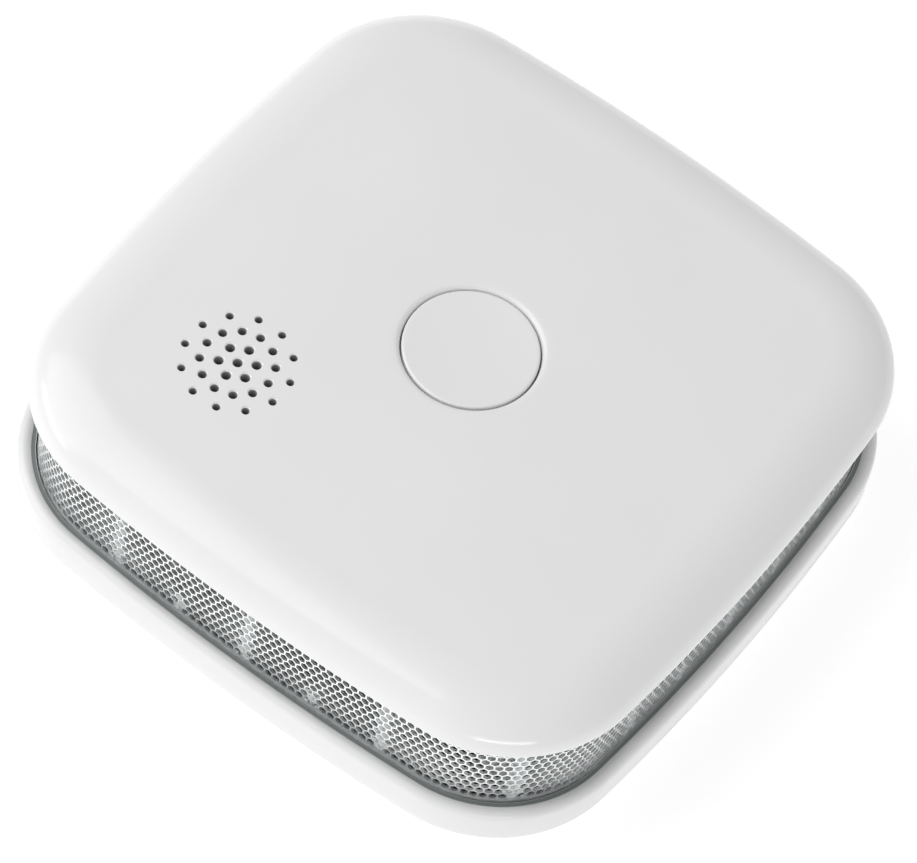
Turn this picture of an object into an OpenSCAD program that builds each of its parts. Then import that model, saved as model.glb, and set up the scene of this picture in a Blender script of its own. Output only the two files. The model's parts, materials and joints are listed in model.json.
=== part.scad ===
// Carbon monoxide detector: a rounded square housing with a perforated screen all round,
// a central test button, and a twist-lock mounting plate behind it.
// Origin: centre of the back, on the wall face of the mounting plate. +Z points out of the front.

/* [Housing] */
// Width of the front cover across its bowed sides
cover_w = 114; // [112:0.5:116]
// Height from the wall face to the middle of the front cover
body_h = 35; // [34.5:0.1:36]
// Corner radius of the front cover
corner_r = 24; // [22:0.5:25]
// Radius of the long bow in each side
side_r = 430; // [350:10:500]
// Wall thickness of the front cover
cover_wall = 2.2; // [2:0.1:2.4]

/* [Cover edge] */
// How far in from the side the edge rounding starts
edge_run = 12; // [10:0.5:13]
// How far the edge rounding falls
edge_fall = 6.3; // [5.5:0.1:6.8]
// How far the crown of the cover falls before the rounding starts
crown_fall = 1.3; // [0.8:0.1:1.6]

/* [Screen] */
// Distance from the cover's side in to the outer face of the screen
screen_inset = 2.6; // [2.4:0.1:3]
// Thickness of the screen's sheet
screen_t = 0.5; // [0.4:0.05:0.6]
// Distance between two posts behind the screen
post_pitch = 25.8; // [24:0.1:26]

/* [Base] */
// Width of the base across its bowed sides
base_w = 115; // [113.5:0.5:117]
// Height of the base's rim above the wall face
base_top = 9.5; // [9:0.1:10]
// Wall thickness of the base
base_wall = 2.4; // [2:0.1:2.6]
// Height of the ledge inside the rim, next to the screen
ledge_z = 8.9; // [8.5:0.1:9.1]
// Clearance between the base and the wall
wall_gap = 0.6; // [0.4:0.1:1]

/* [Button] */
// Radius of the test button
button_r = 10.9; // [10.5:0.1:11]
// Gap between the button and the cover all round
button_gap = 0.3; // [0.2:0.05:0.4]
// Travel of the test button
button_travel = 1; // [0.8:0.1:1.2]

/* [Sounder holes] */
// Distance of the hole pattern from the middle, along X and along Y
grille_xy = 26; // [25:0.5:27]
// Spacing between the rings of holes
grille_pitch = 2.97; // [2.8:0.01:3.1]
// Radius of the middle holes
grille_hole_r = 0.8; // [0.6:0.05:0.9]

/* [Battery bay] */
// Radius of one cell
cell_r = 7.2; // [7.1:0.05:7.25]
// Length of one cell without its positive cap
cell_l = 49.2; // [48.5:0.1:49.2]
// Length of the bay
bay_l = 56; // [55.8:0.1:56.5]
// Width of the bay
bay_w = 31.6; // [31:0.1:32]

/* [Mounting plate] */
// Outer radius of the plate
plate_r = 48.2; // [48:0.1:48.3]
// Inner radius of the plate
plate_in_r = 36.5; // [36.3:0.1:36.8]
// Radius of the circle of the wall screws
screw_circle_r = 40; // [39.9:0.1:40.2]
// Radius of the holes for the wall screws
wall_hole_r = 2.25; // [2:0.05:2.4]

/* [Hidden] */
$fn = 64;

// Outline of the housing: four bowed sides joined by four corner arcs
side_steps = 6;
corner_steps = 8;
cover_half = cover_w / 2;
base_half = base_w / 2;

// How far joined shapes reach into each other, and the slack between seated parts
bite = 0.1;
slack = 0.1;

// Heights of the front cover
crown_z = body_h - crown_fall;
cover_edge_z = crown_z - edge_fall;
lip_z = cover_edge_z - 0.6;
cover_in_z = body_h - cover_wall;

// Cover posts and their screws
post_xy = 41.3;
post_r = 4.2;
post_z = 8.1;
post_bore_r = 1.35;
screw_shank_r = 1.3;
screw_head_r = 2.8;
screw_head_z = 2;
screw_seat_z = 4;
cover_screw_l = 13;
slot_l = 3.6;
slot_w = 0.7;
slot_depth = 0.9;
post_clear = 0.8;

// Base
floor_t = 2;
recess_r = 48.6;
recess_z = 5;
recess_wall = 1.8;
puck_r = 35.5;
floor_top = recess_z + floor_t;
boss_r = 4.6;
boss_hole_r = 1.7;
boss_top = 8;
foot_run = 3.5;
foot_rise = 3.2;
ledge_w = 0.7;

// Twist lock: lips on the plate turn over hooks in the base
lock_count = 4;
lip_angle = 16;
lip_in_r = 44.8;
lip_out_r = 46.9;
lip_bottom = 3.4;
lip_top = 4.6;
ring_in_r = 43.4;
hook_in_r = 45.3;
hook_bottom = 2;
hook_top = 3.2;
plate_t = 1.6;
lock_start = 30;
stop_turn = 1.5;
stop_width = 1.6;
collar_t = 1.2;
collar_rise = 1.4;

// Battery bay
holder_wall = 1.5;
cell_y = 7.75;
cell_z = 10.45;
bay_top = 17.9;
holder_top = 19.2;
cap_r = 2.75;
cap_l = 1.3;
contact_t = 0.4;
door_t = 1.8;
door_bottom = 0.8;
door_gap = 0.3;
door_stop_h = 2;
door_stop_w = 4;
notch_r = 7;
notch_y = bay_w / 2 + 2.5;
notch_z = 1.8;
hinge_y = -14.6;
hinge_z = door_bottom + door_t / 2;
pin_r = 0.7;
pin_bore_r = 0.75;
pin_l = 1.1;
tab_z = 13;
label_t = 0.15;
label_l = 38;
label_w = 18;
// How far a cell sits from the middle, towards its positive contact
cell_shift = bay_l / 2 - contact_t - 0.2 - (cell_l + cap_l) / 2;

// Circuit board
board_inset = 6.2;
board_z = 9.4;
board_t = 1.6;
board_top = board_z + board_t;
board_screw_x = 43;
board_screw_y = 6;
board_boss_r = 3.2;
board_bore_r = 1.25;
board_shank_r = 1.15;
board_screw_l = 3.4;

// Switch board, on the battery holder and the header pins
panel_w = 26;
panel_front = -10.5;
panel_back = 22;
panel_z = 20;
panel_t = 1.2;
panel_top = panel_z + panel_t;
header_y = 19.8;
header_pitch = 2.54;
header_pin_w = 0.64;
pad_x = 11;
pad_y = 8.5;

// Screen frame
frame_out = cover_half - screen_inset - screen_t - 0.05;
frame_wall = 2.4;
frame_bottom = 2.7;
screen_z = 7.2;
screen_top = 27.9;
frame_low_top = 8.2;
rib_top = 13.6;
seal_gap = 0.1;
seal_w = 2.8;
post_w = 2.2;
rib_w = 1.6;
frame_high_bottom = 26;
frame_top = 28.4;

// Button and switch
aperture_r = button_r + button_gap;
button_top = body_h - 0.25;
button_dish = 0.4;
flange_r = 12.6;
flange_top = cover_in_z - 0.17;
flange_bottom = cover_in_z - 1.5;
collar_in_r = 12.9;
collar_out_r = 14.4;
collar_bottom = 28.5;
seat_z = 28.4;
seat_t = 1.2;
stem_r = 2.2;
switch_h = 4.2;
switch_top = panel_top + switch_h;
plunger_r = 1.75;
plunger_top = 27.3;
contact_gap = 0.05;

// Screws, windows and light ring of the button frame
frame_screw_x = 17.6;
frame_boss_r = 2.6;
frame_bore_r = 0.95;
light_r = 8.2;

// Sounder
cup_r = 15.6;
cup_bottom = 23.4;
cup_top = 30.4;
cup_wall = 1.2;
port_r = 9.6;
disc_z = 26.6;
disc_r = 13.5;
disc_t = 0.35;

// CO sensor, on the board beside the screen
sensor_x = -40;
sensor_y = 17;
sensor_r = 10;
sensor_z = board_top + 0.6;
sensor_top = 20.6;
sensor_cap_top = 22.9;
sensor_pin_at = [for (i = [0 : 2])
    [sensor_x + 6 * cos(120 * i + 30), sensor_y + 6 * sin(120 * i + 30)]];
header_pin_at = [for (i = [-1.5 : 1.5]) [i * header_pitch, header_y]];

function arc(cx, cy, r, from, to, steps) =
    [for (i = [0 : steps - 1]) let (t = from + (to - from) * i / steps)
        [cx + r * cos(t), cy + r * sin(t)]];

// One quarter of the outline, turned by "turn": half a width, a corner radius, a side radius
function quarter(half, r, bow, turn) =
    let (h = half - bow,
        c = (h + sqrt(2 * (bow - r) * (bow - r) - h * h)) / 2,
        t = atan2(c, c - h),
        pts = concat(arc(h, 0, bow, -t, t, side_steps), arc(c, c, r, t, 90 - t, corner_steps)))
    [for (p = pts) [p.x * cos(turn) - p.y * sin(turn), p.x * sin(turn) + p.y * cos(turn)]];

// The outline moved in by "inset"
function outline(half, inset = 0) =
    [for (turn = [0 : 90 : 270]) each
        quarter(half - inset, corner_r - inset, side_r - inset, turn)];

function ring(half, inset, z) = [for (p = outline(half, inset)) [p.x, p.y, z]];

// A ring of the crown: the outline at the start of the rounding, shrunk towards the middle
function crown_ring(inset, share, top) =
    [for (p = outline(cover_half, inset)) [p.x * share, p.y * share, top - crown_fall * share * share]];

// Solid skin through a list of rings, closed by a flat cap at each end
module loft(rings) {
    n = len(rings[0]);
    m = len(rings);
    sides = [for (k = [0 : m - 2], i = [0 : n - 1])
        let (a = k * n + i, b = k * n + (i + 1) % n, c = a + n, d = b + n)
            each [[a, c, b], [b, c, d]]];
    first_cap = [for (i = [0 : n - 1]) i];
    last_cap = [for (i = [n - 1 : -1 : 0]) (m - 1) * n + i];
    polyhedron(points = [for (r = rings) each r], faces = concat([first_cap], sides, [last_cap]));
}

// Straight wall that follows the housing's outline
module band(half, inset_out, thickness, z0, z1) {
    translate([0, 0, z0]) linear_extrude(z1 - z0) difference() {
        polygon(outline(half, inset_out));
        polygon(outline(half, inset_out + thickness));
    }
}

module tube(r_out, r_in, z0, z1) {
    translate([0, 0, z0]) difference() {
        cylinder(r = r_out, h = z1 - z0);
        translate([0, 0, -1]) cylinder(r = r_in, h = z1 - z0 + 2);
    }
}

module rod(r, z0, z1) {
    translate([0, 0, z0]) cylinder(r = r, h = z1 - z0);
}

module at_corners(x, y) {
    for (sx = [-1, 1], sy = [-1, 1]) translate([sx * x, sy * y, 0]) children();
}

// Sector of a tube, centred on "mid" degrees
module sector(r_out, r_in, z0, z1, mid, width) {
    translate([0, 0, z0]) rotate([0, 0, mid - width / 2])
        rotate_extrude(angle = width, $fn = 180) translate([r_in, 0]) square([r_out - r_in, z1 - z0]);
}

// Helical wire along +Z: radius grows from r0 to r1 over "turns" turns
module helix(r0, r1, wire_r, height, turns, steps = 14, sides = 6) {
    n = round(turns * steps);
    pts = [for (i = [0 : n], j = [0 : sides - 1])
        let (t = 360 * i / steps, r = r0 + (r1 - r0) * i / n, w = 360 * j / sides)
            [(r + wire_r * cos(w)) * cos(t), (r + wire_r * cos(w)) * sin(t),
                wire_r + (height - 2 * wire_r) * i / n + wire_r * sin(w)]];
    skin = [for (i = [0 : n - 1], j = [0 : sides - 1])
        let (a = i * sides + j, b = i * sides + (j + 1) % sides, c = a + sides, d = b + sides)
            each [[a, b, c], [b, d, c]]];
    start = [for (j = [sides - 1 : -1 : 0]) j];
    end = [for (j = [0 : sides - 1]) n * sides + j];
    polyhedron(points = pts, faces = concat([start], skin, [end]));
}

// Round wire through a list of points, with mitred joints
module wire(path, r, sides = 8) {
    n = len(path);
    dirs = [for (i = [0 : n - 1])
        let (d = path[min(i + 1, n - 1)] - path[max(i - 1, 0)]) d / norm(d)];
    pts = [for (i = [0 : n - 1], j = [0 : sides - 1])
        let (u = cross(dirs[i], [0.3, 0.5, 0.81]), v = u / norm(u), w = cross(dirs[i], v),
            a = 360 * j / sides)
            path[i] + r * (v * cos(a) + w * sin(a))];
    skin = [for (i = [0 : n - 2], j = [0 : sides - 1])
        let (a = i * sides + j, b = i * sides + (j + 1) % sides, c = a + sides, d = b + sides)
            each [[a, c, b], [b, c, d]]];
    start = [for (j = [0 : sides - 1]) j];
    end = [for (j = [sides - 1 : -1 : 0]) (n - 1) * sides + j];
    polyhedron(points = pts, faces = concat([start], skin, [end]));
}

// Point on a curve with four control points
function bezier(p, t) = p[0] * pow(1 - t, 3) + 3 * p[1] * t * pow(1 - t, 2)
    + 3 * p[2] * t * t * (1 - t) + p[3] * pow(t, 3);

// Holes of the sounder: one in the middle, then rings of six, twelve and twelve, getting smaller
module sounder_holes() {
    rings = [[0, 1, 0, 0], [1, 6, 0, 0], [2, 12, 0, 0.08], [2.96, 12, 15, 0.16]];
    translate([-grille_xy, grille_xy, body_h - 2 * cover_wall - 2])
        for (g = rings, i = [0 : g[1] - 1])
            rotate([0, 0, 1 + g[2] + i * 360 / g[1]]) translate([g[0] * grille_pitch, 0, 0])
                cylinder(r = grille_hole_r - g[3], h = 12, $fn = 16);
}

// Crowned shell: up the inside is walked first, then round the lip and up the outside
module cover_shell() {
    steps = 6;
    shares = [0.25, 0.5, 0.75];
    in_rise = crown_z - cover_wall - lip_z;
    in_run = edge_run - cover_wall;
    angles = [for (i = [0 : steps]) 90 * i / steps];
    inner_crown = [for (k = shares) crown_ring(edge_run, k, cover_in_z)];
    inner_side = [for (i = [steps : -1 : 0])
        ring(cover_half, cover_wall + in_run * (1 - cos(angles[i])), lip_z + in_rise * sin(angles[i]))];
    lip = [ring(cover_half, 0.6, lip_z), ring(cover_half, 0.15, lip_z + 0.15)];
    outer_side = [for (s = angles)
        ring(cover_half, edge_run * (1 - cos(s)), cover_edge_z + edge_fall * sin(s))];
    outer_crown = [for (i = [2 : -1 : 0]) crown_ring(edge_run, shares[i], body_h)];
    loft(concat(inner_crown, inner_side, lip, outer_side, outer_crown));
}

module at_board_screws() {
    for (turn = [0 : 90 : 270]) rotate([0, 0, turn])
        translate([board_screw_x, board_screw_y, 0]) children();
}

module at_frame_screws() {
    for (i = [0 : 2]) rotate([0, 0, 70 + 120 * i]) translate([frame_screw_x, 0, 0]) children();
}

module front_cover() {
    color("white") difference() {
        union() {
            cover_shell();
            at_corners(post_xy, post_xy) rod(post_r, post_z, cover_in_z - 0.9);
            tube(collar_out_r, collar_in_r, collar_bottom, cover_in_z + 0.5);
            at_frame_screws() rod(frame_boss_r, collar_bottom, cover_in_z + 0.3);
        }
        rod(aperture_r, cover_in_z - 1, body_h + 1);
        sounder_holes();
        at_corners(post_xy, post_xy) rod(post_bore_r, post_z - 1, post_z + cover_screw_l);
        at_frame_screws() rod(frame_bore_r, collar_bottom - 1, collar_bottom + 3.4);
    }
}

// Dished cap on a flange, with a stem that reaches down to the switch
module test_button() {
    dish_r = (button_r * button_r + button_dish * button_dish) / (2 * button_dish);
    color("white") difference() {
        union() {
            rod(button_r, flange_bottom, button_top);
            rod(flange_r, flange_bottom, flange_top);
            rod(stem_r, plunger_top + contact_gap, flange_bottom + bite);
        }
        translate([0, 0, button_top - button_dish + dish_r]) sphere(r = dish_r, $fn = 200);
    }
}

module button_frame() {
    color("gainsboro") difference() {
        union() {
            rod(collar_out_r - bite, seat_z - seat_t, seat_z);
            at_frame_screws() rod(frame_boss_r, seat_z - seat_t, seat_z);
            for (i = [0 : 2]) rotate([0, 0, 70 + 120 * i])
                translate([collar_in_r, -frame_boss_r, seat_z - seat_t])
                    cube([frame_screw_x - collar_in_r, 2 * frame_boss_r, seat_t]);
        }
        rod(stem_r + 0.6, seat_z - 2 * seat_t, seat_z + 1);
        at_frame_screws() rod(frame_bore_r + 0.15, seat_z - 2 * seat_t, seat_z + 1);
        for (i = [0 : 5]) rotate([0, 0, 60 * i]) translate([light_r, 0, 0])
            rod(1.2, seat_z - 2 * seat_t, seat_z + 1);
    }
}

module frame_screws() {
    color("silver") at_frame_screws() union() {
        rod(frame_bore_r - 0.05, seat_z - seat_t - 0.5, seat_z + 3);
        rod(1.8, seat_z - seat_t - 1.2, seat_z - seat_t);
    }
}

module button_spring() {
    color("silver") translate([0, 0, seat_z])
        helix(5.6, 5.6, 0.28, flange_bottom - seat_z, 3.5);
}

module light_guide() {
    color("lightcyan") tube(light_r + 1.6, light_r - 1.6, panel_top + 1.2, seat_z - seat_t - slack);
}

module status_leds() {
    color("gold") for (i = [0 : 3]) rotate([0, 0, 45 + 90 * i])
        translate([light_r - 0.8, -0.8, panel_top]) cube([1.6, 1.6, 0.7]);
}

module switch_body() {
    color("dimgray") difference() {
        translate([-3.1, -3.1, panel_top]) cube([6.2, 6.2, switch_h]);
        rod(plunger_r + 0.05, switch_top - 1.6, switch_top + 1);
    }
}

module switch_plunger() {
    color("black") rod(plunger_r, switch_top - 0.4, plunger_top);
}

module at_sounder() {
    translate([-grille_xy, grille_xy, 0]) children();
}

module sounder_gasket() {
    color("dimgray") at_sounder() tube(port_r + 3.4, port_r, cup_top + 0.05, 31.7);
}

// Cup open towards the board, with a port under the sounder holes and a step for the disc
module sounder_cup() {
    color("black") at_sounder() union() {
        tube(cup_r, cup_r - cup_wall, cup_bottom, cup_top);
        tube(cup_r - 0.2, port_r, cup_top - 1.4, cup_top);
        tube(cup_r - 0.2, disc_r - 1.2, disc_z - 0.9, disc_z - 0.05);
    }
}

module piezo_disc() {
    color("goldenrod") at_sounder() rod(disc_r, disc_z, disc_z + disc_t);
}

module sounder_leads() {
    for (x = [-4, 4]) {
        from = [x - grille_xy, grille_xy, disc_z - 0.2];
        to = [x - grille_xy + 9, grille_xy + 10, board_top + slack];
        p = [from, from - [0, 0, 5], to + [0, 0, 7], to];
        color(x < 0 ? "black" : "red") wire([for (i = [0 : 14]) bezier(p, i / 14)], 0.5);
    }
}

// Perforated strip with a plain edge above and below, drawn here as a plain wall
module gas_screen() {
    color("silver") band(cover_half, screen_inset, screen_t, screen_z, screen_top);
}

// Two rings joined by posts that stand close behind the screen
module screen_frame() {
    inset = cover_half - frame_out;
    color("white") union() {
        band(cover_half, inset, frame_wall, frame_bottom, frame_low_top);
        band(cover_half, inset - 0.5, frame_wall, frame_bottom, screen_z - slack);
        band(cover_half, inset, frame_wall, frame_high_bottom, frame_top);
        frame_posts(inset, frame_wall, frame_high_bottom, [-1, 0, 1], post_w, [45]);
        frame_posts(inset, frame_wall, rib_top, [-0.5, 0.5], rib_w);
    }
}

// Posts on the frame's lower ring: "across" lists places along each side, "corners" angles
module frame_posts(inset, thickness, top, across, width, corners = []) {
    translate([0, 0, frame_low_top - bite]) linear_extrude(top - frame_low_top + 2 * bite) intersection() {
        difference() {
            polygon(outline(cover_half, inset));
            polygon(outline(cover_half, inset + thickness));
        }
        union() {
            for (turn = [0, 90], k = across) rotate(turn)
                translate([k * post_pitch - width / 2, -cover_half]) square([width, cover_w]);
            for (turn = [0 : 90 : 270], a = corners) rotate(turn + a)
                translate([0, -width / 2]) square([cover_w, width]);
        }
    }
}

// Foam strip on the frame's lower ring, notched round the posts, that keeps dust out of the gap
module screen_seal() {
    inset = cover_half - frame_out + seal_gap;
    color("dimgray") difference() {
        band(cover_half, inset, seal_w, frame_low_top + 0.05, board_top - 0.3);
        frame_posts(inset - 1, seal_w + 2, board_top, [-1, 0, 1], post_w + 2 * seal_gap, [45]);
        frame_posts(inset - 1, seal_w + 2, board_top, [-0.5, 0.5], rib_w + 2 * seal_gap);
    }
}

module circuit_board() {
    color("darkgreen") translate([0, 0, board_z]) linear_extrude(board_t) difference() {
        polygon(outline(cover_half, board_inset));
        for (sx = [-1, 1], sy = [-1, 1])
            translate([sx * post_xy, sy * post_xy]) circle(r = post_r + post_clear);
        for (turn = [0 : 90 : 270]) rotate(turn)
            translate([board_screw_x, board_screw_y]) circle(r = board_shank_r + 0.2);
        square([bay_l + 2 * holder_wall + 1, bay_w + 2 * holder_wall + 1], center = true);
        for (p = concat(sensor_pin_at, header_pin_at)) translate(p) circle(r = 0.7, $fn = 24);
    }
}

module board_screws() {
    color("silver") at_board_screws() union() {
        rod(board_shank_r, board_z - board_screw_l, board_top + 0.5);
        rod(2.3, board_top, board_top + 1.7);
    }
}

module switch_board() {
    color("darkgreen") translate([0, 0, panel_z]) linear_extrude(panel_t) difference() {
        translate([-panel_w / 2, panel_front]) square([panel_w, panel_back - panel_front]);
        for (p = header_pin_at) translate(p) circle(r = 0.7, $fn = 24);
    }
}

// Spacer block of the pins between the two boards
module board_header() {
    color("black") translate([0, header_y, board_top]) linear_extrude(header_pitch) difference() {
        square([header_pitch * 4, header_pitch], center = true);
        for (p = header_pin_at) translate([p.x, 0]) square(header_pin_w + 0.05, center = true);
    }
}

module header_pins() {
    color("gold") for (p = header_pin_at)
        translate([p.x - header_pin_w / 2, p.y - header_pin_w / 2, board_z - 1])
            cube([header_pin_w, header_pin_w, panel_top - board_z + 2.2]);
}

module co_sensor() {
    color("silver") translate([sensor_x, sensor_y, 0]) union() {
        rod(sensor_r, sensor_z, sensor_top);
        rod(sensor_r + 0.4, sensor_z, sensor_z + 1.2);
    }
}

// Filter cap on top of the cell, with gas inlets
module sensor_cap() {
    color("black") translate([sensor_x, sensor_y, 0]) difference() {
        rod(sensor_r - 0.4, sensor_top + 0.05, sensor_cap_top);
        rod(sensor_r - 1.6, sensor_top - 1, sensor_cap_top - 1);
        for (i = [0 : 5]) rotate([0, 0, 60 * i]) translate([5, 0, 0])
            rod(0.9, sensor_top, sensor_cap_top + 1);
    }
}

module sensor_pins() {
    color("gold") for (p = sensor_pin_at) translate(p) rod(0.5, board_z - 1, sensor_z - 0.05);
}

module microcontroller() {
    color("black") translate([14, -34, board_top]) union() {
        cube([7, 7, 1]);
        for (i = [0 : 7], e = [-0.6, 6.9]) {
            translate([0.55 + i * 0.8, e, 0]) cube([0.35, 0.7, 0.4]);
            translate([e, 0.55 + i * 0.8, 0]) cube([0.7, 0.35, 0.4]);
        }
    }
}

module boost_inductor() {
    color("dimgray") translate([30, 30, board_top]) union() {
        rod(5, 0, 1.2);
        rod(3.6, 1, 5);
        rod(5, 4.8, 6);
    }
}

module capacitors() {
    color("silver") for (p = [[-45.5, -26], [-27, -45.5]]) translate([p.x, p.y, board_top]) union() {
        rod(4, 0, 9.5);
        rod(4.15, 0, 0.8);
    }
}

// Roof and walls of the bay, open at the bottom, with a rib between the two cells and four pads
module battery_holder() {
    color("whitesmoke") difference() {
        union() {
            translate([-bay_l / 2 - holder_wall, -bay_w / 2 - holder_wall, floor_top + slack])
                cube([bay_l + 2 * holder_wall, bay_w + 2 * holder_wall, holder_top - floor_top - slack]);
            at_corners(pad_x, pad_y) rod(1.5, holder_top - 0.3, panel_z - 0.05);
        }
        difference() {
            translate([-bay_l / 2, -bay_w / 2, floor_top - 1])
                cube([bay_l, bay_w, bay_top - floor_top + 1]);
            translate([-bay_l / 2 + 4, -0.4, bay_top - 2.6]) cube([bay_l - 8, 0.8, 4]);
        }
        for (y = [-cell_y, cell_y]) translate([bay_l / 2 - 1, y - 1.4, tab_z - 0.3])
            cube([holder_wall + 2, 2.8, 1]);
    }
}

// A cell along +X, centred on its own body, with its positive cap at +X
module cell() {
    translate([0, 0, cell_z]) rotate([0, 90, 0]) union() {
        translate([0, 0, -(cell_l + cap_l) / 2]) cylinder(r = cell_r, h = cell_l);
        translate([0, 0, (cell_l - cap_l) / 2 - bite]) cylinder(r = cap_r, h = cap_l + bite);
    }
}

module battery_left() {
    color("steelblue") translate([cell_shift, -cell_y, 0]) cell();
}

module battery_right() {
    color("steelblue") translate([-cell_shift, cell_y, 0]) mirror([1, 0, 0]) cell();
}

module battery_springs() {
    reach = bay_l / 2 - contact_t + cell_shift - (cell_l + cap_l) / 2 - slack;
    color("silver") for (turn = [0, 180]) rotate([0, 0, turn])
        translate([-bay_l / 2 + contact_t + 0.05, -cell_y, cell_z]) rotate([0, 90, 0])
            helix(5, 2.6, 0.35, reach, 3);
}

// One bridging plate at -X, and two plates with solder tabs at +X
module battery_contacts() {
    color("silver") union() {
        translate([-bay_l / 2 + 0.02, -13, 5]) cube([contact_t, 26, 11]);
        for (y = [-cell_y, cell_y]) {
            translate([bay_l / 2 - contact_t - 0.02, y - 5.5, 5]) cube([contact_t, 11, 11]);
            translate([bay_l / 2 - contact_t - 0.02, y - 1.2, tab_z]) cube([3, 2.4, contact_t]);
        }
    }
}

module battery_leads() {
    x0 = bay_l / 2 - contact_t + 3.3;
    for (y = [-cell_y, cell_y]) {
        p = [[x0, y, tab_z + 0.2], [x0 + 3, y, tab_z + 4], [x0 + 5, y, board_top + 4],
            [x0 + 5, y, board_top + 0.05]];
        color(y < 0 ? "black" : "red") wire([for (i = [0 : 12]) bezier(p, i / 12)], 0.6);
    }
}

// Flat door on a barrel hinge, with a pin at each end of the barrel and a finger notch
module battery_door() {
    half_l = bay_l / 2 - door_gap;
    color("white") difference() {
        union() {
            translate([-half_l, hinge_y, door_bottom])
                cube([2 * half_l, bay_w / 2 - door_gap - hinge_y, door_t]);
            translate([-half_l, hinge_y, hinge_z]) rotate([0, 90, 0])
                cylinder(r = door_t / 2, h = 2 * half_l);
            translate([-bay_l / 2 - pin_l, hinge_y, hinge_z]) rotate([0, 90, 0])
                cylinder(r = pin_r, h = bay_l + 2 * pin_l);
        }
        translate([0, notch_y, door_bottom - 1]) cylinder(r = notch_r, h = 1.9);
    }
}

module door_label() {
    color("gainsboro") translate([-label_l / 2, -label_w / 2, door_bottom - label_t])
        cube([label_l, label_w, label_t]);
}

// Rounded tray: up the outside, over the rim, and down the inside to the floor
module tray() {
    steps = 5;
    rim_r = base_wall / 2;
    foot = [for (i = [steps : -1 : 1]) let (s = 90 * i / steps)
        ring(base_half, foot_run * (1 - cos(s)), wall_gap + foot_rise * (1 - sin(s)))];
    rim = [for (i = [0 : steps]) let (s = 180 * i / steps)
        ring(base_half, rim_r * (1 - cos(s)), base_top - rim_r + rim_r * sin(s))];
    loft(concat(foot, rim, [ring(base_half, base_wall, wall_gap + floor_t)]));
}

module base() {
    color("white") union() {
        difference() {
            union() {
                tray();
                band(base_half, base_wall - bite, ledge_w, wall_gap + floor_t - bite, ledge_z);
                rod(recess_r + recess_wall, wall_gap, floor_top);
                at_corners(post_xy, post_xy) rod(boss_r, wall_gap, boss_top);
                at_board_screws() rod(board_boss_r, floor_top - 1, board_z);
            }
            difference() {
                rod(recess_r, -1, recess_z);
                rod(puck_r, -2, recess_z + 1);
            }
            difference() {
                rod(puck_r - recess_wall, wall_gap + floor_t, floor_top + 1);
                translate([-bay_l / 2 - holder_wall, -bay_w / 2 - holder_wall, 0])
                    cube([bay_l + 2 * holder_wall, bay_w + 2 * holder_wall, floor_top + 2]);
            }
            translate([-bay_l / 2, -bay_w / 2, -1]) cube([bay_l, bay_w, floor_top + 3]);
            translate([0, notch_y, -1]) cylinder(r = notch_r, h = notch_z + 1);
            translate([-bay_l / 2 - pin_l - 0.2, hinge_y, hinge_z]) rotate([0, 90, 0])
                cylinder(r = pin_bore_r, h = bay_l + 2 * pin_l + 0.4);
            at_corners(post_xy, post_xy) rod(boss_hole_r, -1, boss_top + 1);
            at_corners(post_xy, post_xy) rod(screw_head_r + 0.3, -1, screw_seat_z);
            at_board_screws() rod(board_bore_r, board_z - board_screw_l - 0.3, board_z + 1);
        }
        for (sx = [-1, 1], sy = [-1, 1])
            translate([sx * (bay_l / 2 - 1) - door_stop_w / 2,
                sy * (bay_w / 2 - 1) - door_stop_w / 2, door_bottom + door_t + slack])
                cube([door_stop_w, door_stop_w, door_stop_h]);
        for (k = [0 : lock_count - 1]) {
            mid = lock_start + k * 360 / lock_count;
            sector(recess_r + 0.4, hook_in_r, hook_bottom, hook_top, mid, lip_angle);
            sector(recess_r + 0.4, hook_in_r, hook_bottom, lip_top,
                mid + lip_angle / 2 + stop_turn, stop_width);
        }
    }
}

module cover_screws() {
    color("silver") at_corners(post_xy, post_xy) difference() {
        union() {
            rod(screw_shank_r, screw_seat_z - 0.5, screw_seat_z + cover_screw_l);
            rod(screw_head_r, screw_head_z, screw_seat_z - 0.02);
        }
        for (turn = [0, 90]) rotate([0, 0, turn]) translate([-slot_l / 2, -slot_w / 2, screw_head_z - 1])
            cube([slot_l, slot_w, slot_depth + 1]);
    }
}

// Twist-lock ring: flat flange, locking wall with lips, and four holes for the wall screws
module mounting_plate() {
    color("whitesmoke") union() {
        difference() {
            union() {
                tube(plate_r, plate_in_r, 0, plate_t);
                tube(plate_in_r + collar_t, plate_in_r, 0, plate_t + collar_rise);
                tube(lip_in_r, ring_in_r, 0, lip_top);
            }
            for (turn = [0 : 90 : 270]) rotate([0, 0, turn]) translate([screw_circle_r, 0, 0])
                rod(wall_hole_r, -1, plate_t + 1);
        }
        for (k = [0 : lock_count - 1])
            sector(lip_out_r, lip_in_r - 0.4, lip_bottom, lip_top,
                lock_start + k * 360 / lock_count, lip_angle);
    }
}

front_cover();
test_button();
button_frame();
frame_screws();
button_spring();
light_guide();
status_leds();
switch_body();
switch_plunger();
sounder_gasket();
sounder_cup();
piezo_disc();
sounder_leads();
gas_screen();
screen_frame();
screen_seal();
circuit_board();
board_screws();
switch_board();
board_header();
header_pins();
co_sensor();
sensor_cap();
sensor_pins();
microcontroller();
boost_inductor();
capacitors();
battery_holder();
battery_left();
battery_right();
battery_springs();
battery_contacts();
battery_leads();
battery_door();
door_label();
base();
cover_screws();
mounting_plate();
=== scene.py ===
import json
import math

import bmesh
import bpy
import numpy as np
from mathutils import Matrix, Vector


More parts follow.
